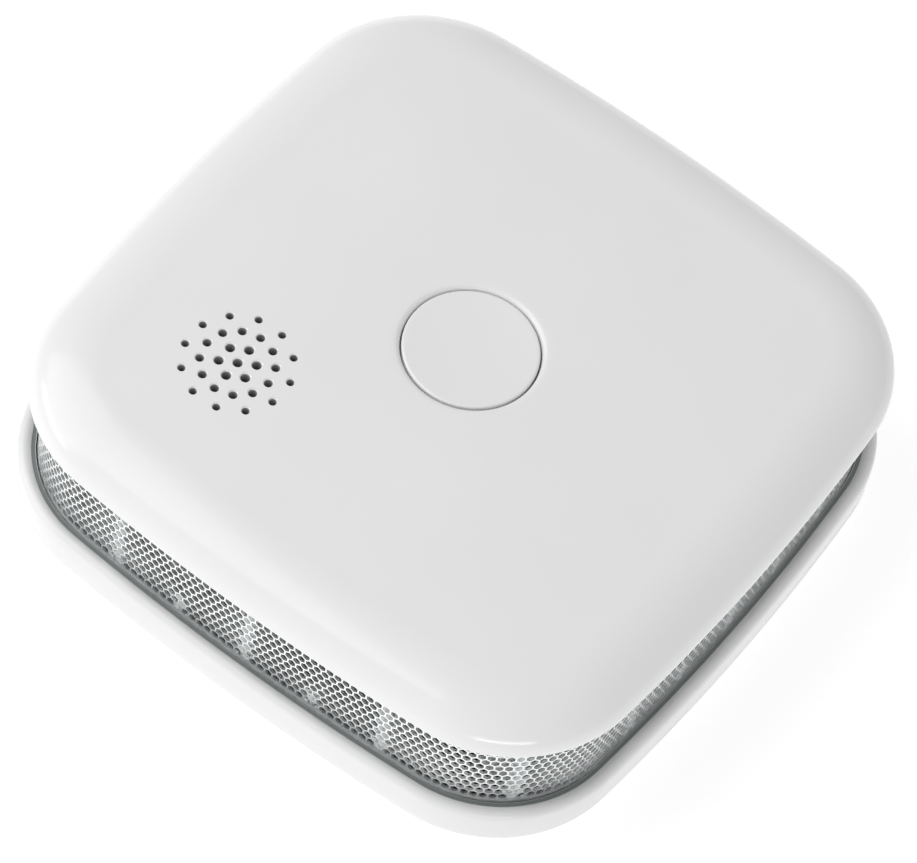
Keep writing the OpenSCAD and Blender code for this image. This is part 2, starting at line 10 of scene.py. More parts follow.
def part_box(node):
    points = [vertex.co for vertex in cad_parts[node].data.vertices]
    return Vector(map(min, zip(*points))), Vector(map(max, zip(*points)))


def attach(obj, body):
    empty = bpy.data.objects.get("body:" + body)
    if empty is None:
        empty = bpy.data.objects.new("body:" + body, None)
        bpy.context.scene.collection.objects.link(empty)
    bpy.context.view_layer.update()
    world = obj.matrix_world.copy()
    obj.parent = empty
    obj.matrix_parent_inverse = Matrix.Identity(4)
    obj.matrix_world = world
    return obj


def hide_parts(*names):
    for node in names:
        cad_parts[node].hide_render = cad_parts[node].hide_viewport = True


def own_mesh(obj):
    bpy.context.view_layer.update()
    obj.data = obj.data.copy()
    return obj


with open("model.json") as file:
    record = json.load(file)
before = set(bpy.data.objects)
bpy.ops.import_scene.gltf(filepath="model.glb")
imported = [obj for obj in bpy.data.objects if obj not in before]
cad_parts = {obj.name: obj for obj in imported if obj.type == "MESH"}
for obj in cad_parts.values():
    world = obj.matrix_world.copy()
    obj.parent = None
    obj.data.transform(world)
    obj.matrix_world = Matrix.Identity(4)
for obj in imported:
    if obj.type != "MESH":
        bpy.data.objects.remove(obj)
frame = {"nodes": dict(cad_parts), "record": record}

bl_info = {
    "name": "Carbon Monoxide Detector",
    "version": (1, 0, 0),
    "blender": (4, 5, 0),
    "location": "View3D > Sidebar > Detector",
    "description": "Builds the visible pieces of a carbon monoxide detector around its CAD frame",
    "category": "Object",
}

MM = 0.001
HOUSING = "housing"

# Base, in its recess and round its holes
BACK_Z = 0.6 * MM
HUB_R, RECESS_R, RECESS_Z = 35.5 * MM, 48.6 * MM, 5 * MM
LEDGE_Z = 8.9 * MM
BOSS_R, BOSS_TOP, BOSS_HOLE_R = 4.6 * MM, 8 * MM, 1.7 * MM
SEAT_R, SEAT_Z = 3.1 * MM, 4 * MM
BAY_X, BAY_Y = 28 * MM, 15.8 * MM
NOTCH_R, NOTCH_Z, NOTCH_OUT = 7 * MM, 1.8 * MM, 2.5 * MM
QUARTERS = (0, math.pi / 2, math.pi, 3 * math.pi / 2)

# Twist lock: hooks in the base, lips on the plate, turns in degrees
LOCK_COUNT, LOCK_START, LIP_ANGLE = 4, 30, 16
HOOK_IN_R, HOOK_OUT_R, HOOK_LOW, HOOK_HIGH = 45.3 * MM, 49 * MM, 2 * MM, 3.2 * MM
LIP_LOW, LIP_HIGH = 3.4 * MM, 4.6 * MM

# Mounting plate
PLATE_IN_R, PLATE_R, PLATE_T = 36.5 * MM, 48.2 * MM, 1.6 * MM
COLLAR_R, COLLAR_TOP = 37.7 * MM, 3 * MM
RING_IN_R, RING_R = 43.4 * MM, 44.8 * MM
WALL_HOLE_R, WALL_HOLES_AT = 2.25 * MM, 40 * MM
SMOOTH_ANGLE = math.radians(34)
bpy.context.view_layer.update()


# ---------------------------------------------------------------- sizes and colours

def length(name, description, default):
    return bpy.props.FloatProperty(
        name=name, description=description, default=default, min=0.0,
        subtype="DISTANCE", unit="LENGTH", precision=5)


def colour(name, description, default):
    return bpy.props.FloatVectorProperty(
        name=name, description=description, default=default, size=3, min=0.0, max=1.0,
        subtype="COLOR")


def number(name, description, default, top=1.0):
    return bpy.props.FloatProperty(name=name, description=description, default=default, min=0.0, max=top)


def angle(name, description, default):
    return bpy.props.FloatProperty(
        name=name, description=description, default=math.radians(default), subtype="ANGLE", unit="ROTATION")


class DetectorSizes(bpy.types.PropertyGroup):
    cover_width: length("Cover width", "Width of the front cover across its bowed sides", 114 * MM)
    base_width: length("Base width", "Width of the base across its bowed sides", 115 * MM)
    height: length("Height", "From the wall face to the middle of the front cover", 35 * MM)
    corner_radius: length("Corner radius", "Radius of the cover's corners", 24 * MM)
    side_radius: length("Side radius", "Radius of the long bow in each side", 430 * MM)
    cover_wall: length("Cover wall", "Wall thickness of the front cover", 2.2 * MM)
    edge_run: length("Edge run", "How far in from the side the edge rounding starts", 12 * MM)
    edge_fall: length("Edge fall", "How far the edge rounding falls", 6.3 * MM)
    crown_fall: length("Crown fall", "How far the cover falls before the rounding starts", 1.3 * MM)
    aperture_radius: length("Button opening", "Radius of the opening round the test button", 11.2 * MM)
    button_radius: length("Button radius", "Radius of the test button", 10.96 * MM)
    button_dish: length("Button dish", "Depth of the dish in the test button", 0.4 * MM)
    grille_offset: length("Sounder offset", "Distance of the sounder holes from the middle, along X and Y", 26 * MM)
    grille_pitch: length("Sounder pitch", "Spacing between the rings of sounder holes", 2.97 * MM)
    grille_hole: length("Sounder hole", "Radius of the middle sounder holes", 0.74 * MM)
    screen_inset: length("Screen inset", "From the cover's side in to the face of the screen", 2.6 * MM)
    screen_sheet: length("Screen sheet", "Thickness of the perforated sheet", 0.5 * MM)
    screen_web: length("Screen web", "Width of metal between two holes of the screen", 0.27 * MM)
    screen_row: length("Screen row", "Height from one row of holes to the next", 1.43 * MM)
    screen_first_row: length("First row", "Height of the middle of the lowest row of holes", 10.4 * MM)
    screen_columns: bpy.props.IntProperty(
        name="Screen columns", description="Holes in one row round the whole screen", default=259, min=12)
    screen_rows: bpy.props.IntProperty(
        name="Screen rows", description="Rows of holes in the screen", default=12, min=2)
    rim_height: length("Rim height", "Height of the base's rim above the wall face", 9.5 * MM)
    base_wall: length("Base wall", "Wall thickness of the base", 2.4 * MM)
    post_offset: length("Screw offset", "Distance of the cover screws from the middle, along X and Y", 41.3 * MM)


class DetectorFinish(bpy.types.PropertyGroup):
    cover: colour("Cover", "Gloss white of the cover and the button", (0.80, 0.80, 0.80))
    base: colour("Base", "Gloss white of the base", (0.76, 0.76, 0.76))
    inner: colour("Inner frame", "Satin white of the pieces behind the screen", (0.80, 0.81, 0.81))
    plate: colour("Mounting plate", "Matt white of the mounting plate", (0.78, 0.78, 0.77))
    steel: colour("Screen steel", "Stainless steel of the perforated screen", (0.93, 0.95, 0.95))
    board: colour("Circuit board", "Solder mask of the circuit board", (0.006, 0.016, 0.012))
    cover_gloss: number("Cover roughness", "Roughness of the cover's surface", 0.16)
    steel_gloss: number("Steel roughness", "Roughness of the screen's surface", 0.38)


class DetectorStudio(bpy.types.PropertyGroup):
    azimuth: angle("Azimuth", "Direction of the camera round the detector", -63.3)
    elevation: angle("Elevation", "Height of the camera above the floor, as an angle", 56.6)
    roll: angle("Roll", "Turn of the camera about its own axis", 12.2)
    distance: length("Distance", "From the camera to the point that it looks at", 0.9352)
    aim: bpy.props.FloatVectorProperty(
        name="Aim", description="Point that the camera looks at", default=(-0.0073, -0.0018, 0.0302),
        subtype="TRANSLATION", unit="LENGTH", precision=4)
    lens: number("Lens", "Focal length in millimetres", 235.5, top=400)
    shift_x: bpy.props.FloatProperty(name="Shift X", description="Sideways shift of the lens", default=0.0102)
    shift_y: bpy.props.FloatProperty(name="Shift Y", description="Upward shift of the lens", default=-0.0342)
    sky: number("Sky", "Strength of the even light from all round", 0.575, top=10)
    key: number("Key light", "Power of the large soft light", 11.5, top=500)
    strips: number("Strip lights", "Power of each narrow light", 2.6, top=100)
    floor_glow: number("Floor glow", "Light given off by the pale floor", 0.58, top=2)
    floor: colour("Floor", "Colour of the pale floor", (0.62, 0.62, 0.62))


def sizes():
    return bpy.context.scene.detector_sizes


def finish():
    return bpy.context.scene.detector_finish


# ---------------------------------------------------------------- shapes

def outline(half, inset=0.0, side_steps=24, corner_steps=32):
    """Rounded square with bowed sides, moved in by inset: four side arcs and four corner arcs."""
    s = sizes()
    half, corner, bow = half - inset, s.corner_radius - inset, s.side_radius - inset
    h = half - bow
    c = (h + math.sqrt(2 * (bow - corner) ** 2 - h * h)) / 2
    t = math.atan2(c, c - h)
    side = [(h + bow * math.cos(a), bow * math.sin(a)) for a in np.linspace(-t, t, side_steps, endpoint=False)]
    turn = [(c + corner * math.cos(a), c + corner * math.sin(a))
            for a in np.linspace(t, math.pi / 2 - t, corner_steps, endpoint=False)]
    quarter = np.array(side + turn)
    return np.vstack([turned(quarter, k * math.pi / 2) for k in range(4)])


def turned(points, a):
    """Points turned by a about the middle."""
    return points @ np.array(((math.cos(a), math.sin(a)), (-math.sin(a), math.cos(a))))


def level(points, z):
    """Flat points lifted to height z, which may be one number or one for each point."""
    return np.column_stack([points, np.broadcast_to(z, len(points))])


def skin(rings, closed=False, caps=False):
    """Quads between rings of equal length: closed joins the last ring to the first, caps fills both ends."""
    n, m = len(rings[0]), len(rings)
    faces = [(k * n + i, k * n + (i + 1) % n, (k + 1) % m * n + (i + 1) % n, (k + 1) % m * n + i)
             for k in range(m if closed else m - 1) for i in range(n)]
    if caps:
        faces += [tuple(reversed(range(n))), tuple(range((m - 1) * n, m * n))]
    return np.vstack(rings), faces


def lathe(profile, segments=96, start=0.0):
    """Closed solid of revolution from a closed list of (radius, height); a radius of 0 is a pole."""
    verts, rings = [], []
    for r, z in profile:
        if r < 1e-9:
            rings.append([len(verts)])
            verts.append((0.0, 0.0, z))
        else:
            rings.append(list(range(len(verts), len(verts) + segments)))
            verts += [(r * math.cos(start + 2 * math.pi * i / segments),
                       r * math.sin(start + 2 * math.pi * i / segments), z) for i in range(segments)]
    faces = []
    for a, b in zip(rings, rings[1:] + rings[:1]):
        if len(a) == 1 and len(b) == 1:
            continue
        for i in range(segments):
            j = (i + 1) % segments
            quad = (a[i % len(a)], a[j % len(a)], b[j % len(b)], b[i % len(b)])
            faces.append(tuple(dict.fromkeys(quad)))
    return np.array(verts), faces


def arc(cx, cz, r, a0, a1, steps=5, rz=None):
    """Points on an arc from a0 to a1 degrees round (cx, cz)."""
    rz = r if rz is None else rz
    return [(cx + r * math.cos(math.radians(a)), cz + rz * math.sin(math.radians(a)))
            for a in np.linspace(a0, a1, steps)]


def block(low, high):
    """Box between two corners."""
    (x0, y0, z0), (x1, y1, z1) = low, high
    verts = [(x, y, z) for z in (z0, z1) for y in (y0, y1) for x in (x0, x1)]
    faces = [(0, 2, 3, 1), (4, 5, 7, 6), (0, 1, 5, 4), (2, 6, 7, 3), (0, 4, 6, 2), (1, 3, 7, 5)]
    return np.array(verts), faces


def moved(shape, x=0.0, y=0.0, z=0.0, turn=0.0):
    verts, faces = shape
    flat = turned(verts[:, :2], turn)
    return np.column_stack([flat[:, 0] + x, flat[:, 1] + y, verts[:, 2] + z]), faces


def together(*shapes):
    verts, faces, n = [], [], 0
    for v, f in shapes:
        verts.append(np.asarray(v))
        faces += [tuple(i + n for i in face) for face in f]
        n += len(v)
    return np.vstack(verts), faces


def sector(r_in, r_out, z0, z1, mid, width, steps=10):
    """Piece of a ring, centred on mid degrees."""
    angles = np.radians(np.linspace(mid - width / 2, mid + width / 2, steps + 1))
    rings = [np.array([(r * math.cos(a), r * math.sin(a), z)
                       for r, z in ((r_in, z0), (r_out, z0), (r_out, z1), (r_in, z1))]) for a in angles]
    return skin(rings, caps=True)


def tidy_mesh(mesh, merge=1e-7, smooth=SMOOTH_ANGLE):
    """Merges doubles, turns the faces outwards and shades smooth between sharp edges."""
    bm = bmesh.new()
    bm.from_mesh(mesh)
    bmesh.ops.remove_doubles(bm, verts=bm.verts, dist=merge)
    bmesh.ops.recalc_face_normals(bm, faces=bm.faces)
    bm.to_mesh(mesh)
    bm.free()
    mesh.shade_smooth()
    mesh.set_sharp_from_angle(angle=smooth)
    return mesh


def new_piece(name, shape, material=None):
    verts, faces = shape
    mesh = bpy.data.meshes.new(name)
    mesh.from_pydata([tuple(v) for v in verts], [], faces)
    tidy_mesh(mesh)
    piece = bpy.data.objects.new(name, mesh)
    bpy.context.scene.collection.objects.link(piece)
    if material:
        mesh.materials.append(material)
    return piece


def drop(*things):
    for o in things:
        mesh = o.data
        bpy.data.objects.remove(o)
        if mesh and not mesh.users:
            bpy.data.meshes.remove(mesh)


def settle(piece, material=None):
    """Turns a piece with its modifiers into a plain mesh."""
    bpy.context.view_layer.update()
    graph = bpy.context.evaluated_depsgraph_get()
    mesh = bpy.data.meshes.new_from_object(piece.evaluated_get(graph), depsgraph=graph)
    if not len(mesh.polygons):
        raise RuntimeError(piece.name + " came out empty")
    old = piece.data
    piece.modifiers.clear()
    piece.data = mesh
    mesh.name = piece.name
    if not old.users:
        bpy.data.meshes.remove(old)
    if material:
        mesh.materials.clear()
        mesh.materials.append(material)
        mesh.polygons.foreach_set("material_index", [0] * len(mesh.polygons))
    return tidy_mesh(mesh)


def combine(piece, shapes, operation):
    """Joins shapes to a piece or cuts them out of it, one at a time."""
    tools = [new_piece("tool", shape) for shape in shapes]
    for tool in tools:
        step = piece.modifiers.new(operation, "BOOLEAN")
        step.operation, step.solver, step.object = operation, "MANIFOLD", tool
    settle(piece, piece.data.materials[0] if piece.data.materials else None)
    drop(*tools)


# ---------------------------------------------------------------- node trees

def add(tree, kind, inputs=None, **settings):
    """Adds a node, sets its options, and fills its inputs by name or number with values or links."""
    node = tree.nodes.new(kind)
    for key, value in settings.items():
        setattr(node, key, value)
    for key, value in (inputs or {}).items():
        socket = node.inputs[key]
        if isinstance(value, bpy.types.NodeSocket):
            tree.links.new(value, socket)
        else:
            socket.default_value = value
    return node


def calc(tree, operation, a, b=0.0):
    return add(tree, "ShaderNodeMath", {0: a, 1: b}, operation=operation).outputs[0]


def vector_calc(tree, operation, a, b=(0, 0, 0)):
    node = add(tree, "ShaderNodeVectorMath", {0: a, 1: b}, operation=operation)
    return node.outputs["Value" if operation == "DOT_PRODUCT" else "Vector"]


def scaled(tree, vector, factor):
    return add(tree, "ShaderNodeVectorMath", {0: vector, "Scale": factor}, operation="SCALE").outputs[0]


def geometry_tree(name, sockets):
    """New geometry tree with a mesh in, a mesh out and named inputs."""
    tree = bpy.data.node_groups.new(name, "GeometryNodeTree")
    face = tree.interface
    face.new_socket("Geometry", in_out="INPUT", socket_type="NodeSocketGeometry")
    for label, kind, default in sockets:
        socket = face.new_socket(label, in_out="INPUT", socket_type="NodeSocket" + kind)
        if default is not None:
            socket.default_value = default
    face.new_socket("Geometry", in_out="OUTPUT", socket_type="NodeSocketGeometry")
    return tree, tree.nodes.new("NodeGroupInput"), tree.nodes.new("NodeGroupOutput")


def end_tree(tree, output, geometry, material):
    real = add(tree, "GeometryNodeRealizeInstances", {"Geometry": geometry}).outputs[0]
    done = add(tree, "GeometryNodeSetMaterial", {"Geometry": real, "Material": material}).outputs[0]
    tree.links.new(done, output.inputs["Geometry"])


def run_tree(piece, tree, values):
    """Gives a piece the tree as a modifier, with its inputs set by identifier."""
    step = piece.modifiers.new(tree.name, "NODES")
    step.node_group = tree
    for item in tree.interface.items_tree:
        if item.in_out == "INPUT" and item.name in values:
            step[item.identifier] = values[item.name]
    settle(piece)
    bpy.data.node_groups.remove(tree)


def instances(tree, points, thing, **more):
    inputs = {"Points": points, "Instance": thing}
    inputs.update(more)
    return add(tree, "GeometryNodeInstanceOnPoints", inputs).outputs[0]


def object_geometry(tree, socket):
    return add(tree, "GeometryNodeObjectInfo", {"Object": socket}, transform_space="ORIGINAL").outputs["Geometry"]


def joined(tree, *parts):
    node = tree.nodes.new("GeometryNodeJoinGeometry")
    for part in reversed(parts):
        tree.links.new(part, node.inputs[0])
    return node.outputs[0]


# ---------------------------------------------------------------- materials

def material(name):
    m = bpy.data.materials.new(name)
    m.use_nodes = True
    tree = m.node_tree
    shader = tree.nodes["Principled BSDF"]
    place = add(tree, "ShaderNodeTexCoord").outputs["Object"]
    return m, tree, shader, place


def noise(tree, place, scale, detail=3.0, stretch=None, rough=0.5):
    if stretch:
        place = add(tree, "ShaderNodeMapping", {"Vector": place, "Scale": stretch}).outputs[0]
    return add(tree, "ShaderNodeTexNoise",
               {"Vector": place, "Scale": scale, "Detail": detail, "Roughness": rough}).outputs[0]


def spread(tree, value, low, high, start=0.3, end=0.7):
    return add(tree, "ShaderNodeMapRange",
               {"Value": value, "From Min": start, "From Max": end, "To Min": low, "To Max": high}).outputs[0]


def tint(tree, factor, dark, light):
    mix = add(tree, "ShaderNodeMix", {"Factor": factor}, data_type="RGBA")
    low, high = [socket for socket in mix.inputs if socket.type == "RGBA"]
    low.default_value, high.default_value = (*dark, 1), (*light, 1)
    return [s for s in mix.outputs if s.type == "RGBA"][0]


def shade(colour_in, factor):
    return tuple(min(1.0, c * factor) for c in colour_in)


def bumped(tree, shader, height, depth, strength=0.5):
    bump = add(tree, "ShaderNodeBump", {"Height": height, "Distance": depth, "Strength": strength})
    tree.links.new(bump.outputs[0], shader.inputs["Normal"])


def plastic(name, base, rough, grain=2600.0, depth=0.002 * MM, vary=0.03, coat=0.0, specular=0.5):
    """Moulded plastic: faint flow marks in the colour, uneven gloss and a fine grain."""
    m, tree, shader, place = material(name)
    clouds = noise(tree, place, 38.0, 2.0)
    tree.links.new(tint(tree, spread(tree, clouds, 0, 1), shade(base, 1 - vary), shade(base, 1 + vary)),
                   shader.inputs["Base Color"])
    smear = noise(tree, place, 120.0, 4.0)
    tree.links.new(spread(tree, smear, rough * 0.85, rough * 1.2), shader.inputs["Roughness"])
    bumped(tree, shader, noise(tree, place, grain, 2.0), depth)
    shader.inputs["Specular IOR Level"].default_value = specular
    if coat:
        shader.inputs["Coat Weight"].default_value = coat
        shader.inputs["Coat Roughness"].default_value = 0.06
    return m


def metal(name, base, rough, stretch=(1, 1, 1), scale=900.0, depth=0.003 * MM):
    """Rolled or plated metal: drawn grain in gloss, colour and relief."""
    m, tree, shader, place = material(name)
    grain = noise(tree, place, scale, 4.0, stretch)
    tree.links.new(tint(tree, spread(tree, grain, 0, 1), shade(base, 0.9), shade(base, 1.06)),
                   shader.inputs["Base Color"])
    tree.links.new(spread(tree, grain, rough * 0.75, rough * 1.3), shader.inputs["Roughness"])
    shader.inputs["Metallic"].default_value = 1.0
    bumped(tree, shader, grain, depth)
    return m


def solder_mask(name, base):
    """Circuit board: dark lacquer over copper tracks that show a shade lighter."""
    m, tree, shader, place = material(name)
    bricks = add(tree, "ShaderNodeTexBrick", {"Vector": place, "Scale": 240.0, "Mortar Size": 0.012})
    bricks.inputs["Color1"].default_value = (0, 0, 0, 1)
    bricks.inputs["Color2"].default_value = (0, 0, 0, 1)
    bricks.inputs["Mortar"].default_value = (1, 1, 1, 1)
    tree.links.new(tint(tree, bricks.outputs["Fac"], base, shade(base, 2.2)), shader.inputs["Base Color"])
    tree.links.new(spread(tree, noise(tree, place, 300.0), 0.3, 0.5), shader.inputs["Roughness"])
    bumped(tree, shader, bricks.outputs["Fac"], 0.03 * MM)
    return m


def clear(name, base):
    m, tree, shader, place = material(name)
    shader.inputs["Base Color"].default_value = (*base, 1)
    shader.inputs["Transmission Weight"].default_value = 0.9
    tree.links.new(spread(tree, noise(tree, place, 500.0), 0.08, 0.2), shader.inputs["Roughness"])
    return m


def finishes():
    """Every finish of the detector, made once and found again by name."""
    made = bpy.data.materials.get("gloss_white_cover")
    if made is None:
        f = finish()
        plastic("gloss_white_cover", f.cover, f.cover_gloss, depth=0.0012 * MM, vary=0.008)
        # Cover white darkened for the walls of the sounder holes: painted shade inside the holes
        plastic("white_hole_wall", shade(f.cover, 0.42), 0.5, depth=0.004 * MM, vary=0.05)
        plastic("gloss_white_base", f.base, 0.2, depth=0.0015 * MM, vary=0.01)
        # Dark grey for the ledge inside the base's rim: painted shade standing for the dark channel between the
        # screen and the rim, not a known part
        plastic("shaded_grey_ledge", (0.17, 0.19, 0.185), 0.5, depth=0.003 * MM, vary=0.06)
        plastic("satin_white_inner", f.inner, 0.42, depth=0.004 * MM, vary=0.03)
        plastic("matt_white_plate", f.plate, 0.55, grain=3800.0, depth=0.02 * MM, vary=0.02)
        plastic("matt_black", (0.025, 0.025, 0.027), 0.5, depth=0.008 * MM, vary=0.15)
        plastic("ferrite_grey", (0.07, 0.07, 0.075), 0.62, grain=1800.0, depth=0.02 * MM, vary=0.2)
        plastic("foam_charcoal", (0.05, 0.05, 0.055), 0.9, grain=1500.0, depth=0.12 * MM, vary=0.3)
        plastic("cell_sleeve_blue", (0.06, 0.16, 0.32), 0.25, depth=0.004 * MM, vary=0.08)
        plastic("wire_sleeve_red", (0.42, 0.03, 0.025), 0.45, depth=0.006 * MM, vary=0.08)
        plastic("label_blank_grey", (0.66, 0.66, 0.65), 0.5, grain=5200.0, depth=0.01 * MM, vary=0.03)
        metal("stainless_screen", f.steel, f.steel_gloss, stretch=(1, 1, 9), scale=700.0)
        metal("drawn_can_steel", (0.60, 0.61, 0.60), 0.34, stretch=(1, 1, 14), scale=600.0)
        metal("zinc_screw_steel", (0.52, 0.53, 0.53), 0.3, scale=1500.0)
        metal("nickel_spring_steel", (0.66, 0.65, 0.63), 0.2, scale=1800.0)
        metal("rolled_brass", (0.72, 0.52, 0.22), 0.28, stretch=(12, 1, 1), scale=500.0)
        metal("gold_flash", (0.86, 0.62, 0.22), 0.22, scale=1500.0)
        solder_mask("solder_mask_green", f.board)
        clear("clear_moulding", (0.92, 0.96, 0.97))
    return bpy.data.materials


SLOT_FINISH = {
    "cover_white": "gloss_white_cover", "base_white": "gloss_white_base", "inner_white": "satin_white_inner",
    "plate_white": "matt_white_plate", "black_plastic": "matt_black", "clear_plastic": "clear_moulding",
    "screen_steel": "stainless_screen", "can_steel": "drawn_can_steel", "screw_steel": "zinc_screw_steel",
    "spring_steel": "nickel_spring_steel", "brass_disc": "rolled_brass", "gold_pins": "gold_flash",
    "board_green": "solder_mask_green", "ferrite": "ferrite_grey", "foam_grey": "foam_charcoal",
    "cell_wrap": "cell_sleeve_blue", "wire_sleeve": "wire_sleeve_red", "label_grey": "label_blank_grey",
}


def place(piece, body, slot, *nodes):
    """Lets a finished piece ride on its body and stand for its CAD nodes."""
    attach(piece, body)
    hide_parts(*nodes)


# ---------------------------------------------------------------- pieces

def crown_height(points, rim):
    """Height of the cover's crown over points that lie on the rays to the matching points of rim."""
    s = sizes()
    share = np.linalg.norm(points, axis=1) / np.linalg.norm(rim, axis=1)
    return s.height - s.crown_fall * share ** 2


def cover_rings():
    """Rings of the cover from its opening out over the crown, round the lip and back up the inside."""
    s = sizes()
    half = s.cover_width / 2
    rim = outline(half, s.edge_run)
    unit = rim / np.linalg.norm(rim, axis=1)[:, None]
    wall = s.cover_wall
    edge_z = s.height - s.crown_fall - s.edge_fall
    lip = 0.6 * MM
    lip_z = edge_z - lip
    soft = 0.95 * MM
    ap = s.aperture_radius
    rings = []
    top = crown_height(unit * (ap + soft), rim)
    for a in np.linspace(0, 90, 6):
        c, n = math.cos(math.radians(a)), math.sin(math.radians(a))
        rings.append(level(unit * (ap + soft * (1 - c)), top - soft * (1 - n)))
    for u in np.linspace(0, 1, 34)[1:]:
        p = unit * (ap + soft) * (1 - u) + rim * u
        rings.append(level(p, crown_height(p, rim)))
    for a in np.linspace(90, 0, 25)[1:]:
        c, n = math.cos(math.radians(a)), math.sin(math.radians(a))
        rings.append(level(outline(half, s.edge_run * (1 - c)), edge_z + s.edge_fall * n))
    for a in np.linspace(0, 90, 6)[1:]:
        c, n = math.cos(math.radians(a)), math.sin(math.radians(a))
        rings.append(level(outline(half, lip * (1 - c)), edge_z - lip * n))
    rings.append(level(outline(half, wall - 0.2 * MM), lip_z))
    for a in np.linspace(0, 90, 10):
        c, n = math.cos(math.radians(a)), math.sin(math.radians(a))
        rise = s.height - s.crown_fall - wall - lip_z
        rings.append(level(outline(half, wall + (s.edge_run - wall) * (1 - c)),
                           lip_z + 0.15 * MM + (rise - 0.15 * MM) * n))
    for u in np.linspace(1, 0, 8)[1:]:
        p = unit * ap * (1 - u) + rim * u
        rings.append(level(p, crown_height(p, rim) - wall))
    return rings


def post(x, y, r, r_in, z0, z1, segments=40):
    return moved(lathe([(r_in, z0), (r, z0), (r, z1), (r_in, z1)], segments), x, y)


def cover_inside():
    """Collar of the button, its three screw bosses and the four long posts."""
    s = sizes()
    roof = s.height - s.cover_wall
    collar_in_r, collar_r, collar_low, boss_at = 12.9 * MM, 14.4 * MM, 28.5 * MM, 17.6 * MM
    parts = [lathe([(collar_in_r, collar_low), (collar_r, collar_low), (collar_r, roof), (collar_in_r, roof)])]
    for k in range(3):
        a = math.radians(70 + 120 * k)
        parts.append(post(boss_at * math.cos(a), boss_at * math.sin(a), 2.6 * MM, 0.95 * MM,
                          collar_low, roof - 0.1 * MM))
    for x in (-1, 1):
        for y in (-1, 1):
            parts.append(post(x * s.post_offset, y * s.post_offset, 4.2 * MM, 1.35 * MM,
                              8.1 * MM, roof - 0.9 * MM))
    return together(*parts)


def hole_tool(r):
    """Drill for one sounder hole, with a softened mouth at height 0."""
    m = MM
    return lathe([(0, -4 * m), (r, -4 * m), (r, -0.34 * m), (r + 0.04 * m, -0.21 * m), (r + 0.12 * m, -0.11 * m),
                  (r + 0.26 * m, 0.0), (r + 0.3 * m, 0.6 * m), (0, 0.6 * m)], 20)


def sounder_tree():
    """Rings of points laid on the cover's crown, a drill on each, the cut, and a painted shade on the walls of the
    holes.
    """
    tree, source, output = geometry_tree("sounder_holes", [
        ("Drill", "Object", None), ("Offset", "Float", 0.026), ("Pitch", "Float", 0.003),
        ("Lead", "Float", 0.0175), ("Finish", "Material", None), ("Bore", "Material", None)])
    rings = []
    for turns, count, twist, size in (
            (1.0, 6, 0.0, 1.0), (2.0, 12, 0.0, 0.9), (2.96, 12, 15.0, 0.8), (0.0, 3, 0.0, 1.0)):
        radius = calc(tree, "MULTIPLY", source.outputs["Pitch"], turns)
        points = add(tree, "GeometryNodeMeshCircle", {"Vertices": count, "Radius": radius}).outputs[0]
        lead = calc(tree, "ADD", source.outputs["Lead"], math.radians(twist))
        spin = add(tree, "ShaderNodeCombineXYZ", {"Z": lead}).outputs[0]
        points = add(tree, "GeometryNodeTransform", {"Geometry": points, "Rotation": spin}).outputs[0]
        if turns == 0:
            points = add(tree, "GeometryNodeMergeByDistance", {"Geometry": points, "Distance": 1e-5}).outputs[0]
        size_value = add(tree, "ShaderNodeValue")
        size_value.outputs[0].default_value = size
        wide = add(tree, "ShaderNodeCombineXYZ", {
            "X": size_value.outputs[0], "Y": size_value.outputs[0], "Z": 1.0}).outputs[0]
        rings.append((points, wide))
    away = add(tree, "ShaderNodeCombineXYZ", {
        "X": calc(tree, "MULTIPLY", source.outputs["Offset"], -1.0),
        "Y": source.outputs["Offset"], "Z": 0.05}).outputs[0]
    drill = object_geometry(tree, source.outputs["Drill"])
    cutters = []
    for points, wide in rings:
        points = add(tree, "GeometryNodeTransform", {"Geometry": points, "Translation": away}).outputs[0]
        hit = add(tree, "GeometryNodeRaycast", {"Target Geometry": source.outputs["Geometry"], "Ray Length": 0.05})
        hit.inputs["Ray Direction"].default_value = (0, 0, -1)
        points = add(tree, "GeometryNodeSetPosition", {
            "Geometry": points, "Position": hit.outputs["Hit Position"]}).outputs[0]
        cutters.append(instances(tree, points, drill, Scale=wide))
    cut = add(tree, "GeometryNodeMeshBoolean", operation="DIFFERENCE", solver="MANIFOLD")
    tree.links.new(source.outputs["Geometry"], cut.inputs["Mesh 1"])
    real = add(tree, "GeometryNodeRealizeInstances", {"Geometry": joined(tree, *cutters)}).outputs[0]
    tree.links.new(real, cut.inputs["Mesh 2"])
    end_tree(tree, output, cut.outputs["Mesh"], source.outputs["Finish"])
    # Steep faces within four pitches of the grille's middle are the walls of the sounder holes; they get the darker
    # bore material, a painted shade inside the holes
    normal = add(tree, "GeometryNodeInputNormal").outputs[0]
    slope = add(tree, "ShaderNodeSeparateXYZ", {"Vector": normal}).outputs["Z"]
    steep = calc(tree, "LESS_THAN", calc(tree, "ABSOLUTE", slope), 0.3)
    apart = vector_calc(tree, "SUBTRACT", add(tree, "GeometryNodeInputPosition").outputs[0], away)
    flat = vector_calc(tree, "MULTIPLY", apart, (1, 1, 0))
    off = add(tree, "ShaderNodeVectorMath", {0: flat}, operation="LENGTH").outputs["Value"]
    near = calc(tree, "LESS_THAN", off, calc(tree, "MULTIPLY", source.outputs["Pitch"], 4.0))
    last = output.inputs["Geometry"].links[0].from_socket
    shaded_bores = add(tree, "GeometryNodeSetMaterial", {
        "Geometry": last, "Selection": calc(tree, "MULTIPLY", steep, near), "Material": source.outputs["Bore"]})
    tree.links.new(shaded_bores.outputs[0], output.inputs["Geometry"])
    return tree


